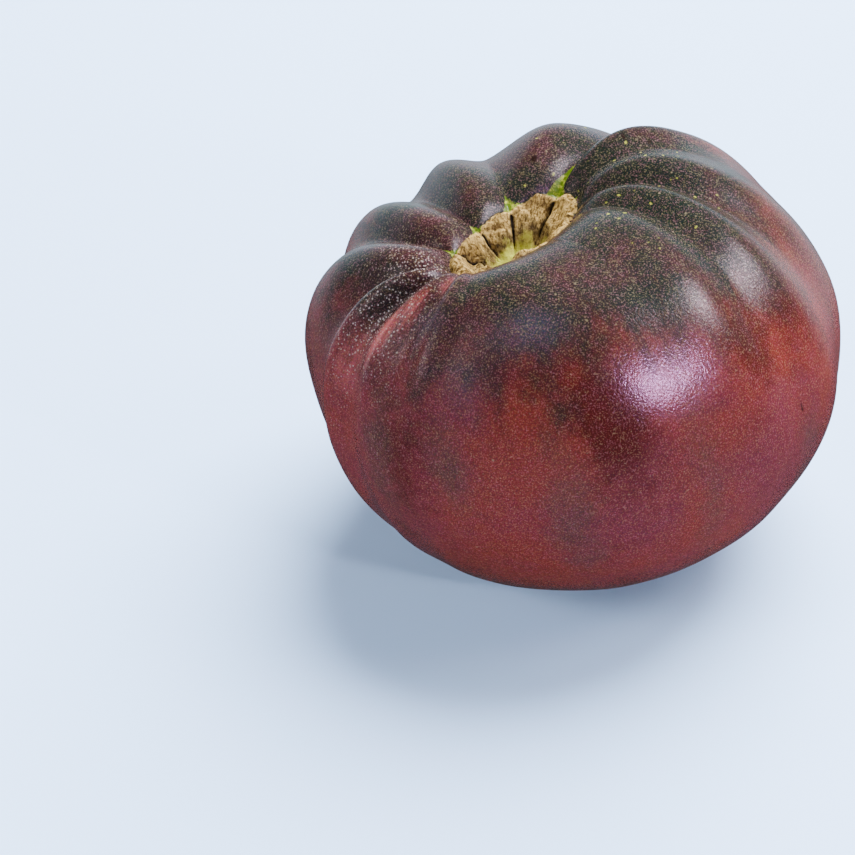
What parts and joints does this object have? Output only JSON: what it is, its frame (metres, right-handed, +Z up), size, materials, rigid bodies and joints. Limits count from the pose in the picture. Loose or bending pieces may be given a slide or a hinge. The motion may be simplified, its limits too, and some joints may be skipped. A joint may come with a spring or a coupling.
{
  "type": "ribbed heirloom tomato",
  "caption": "Whole ripe ribbed heirloom tomato with a sunken corky stem scar, resting on a small flat spot.",
  "frame": {"origin": "middle of the fruit's footprint, on the surface that it rests on", "axes": "+Z up out of the surface, towards the stem end; +X to the right as the fruit is seen in the picture, and +Y away from the viewer"},
  "size_m": [0.095, 0.0918, 0.071],
  "materials": {
    "skin": "smooth waxy tomato skin, dusky brick red on the belly and brown-olive on the shoulders, with a dull tan cork scar"
  },
  "bodies": {
    "root": {"tomato": "skin"}
  },
  "joints": []
}
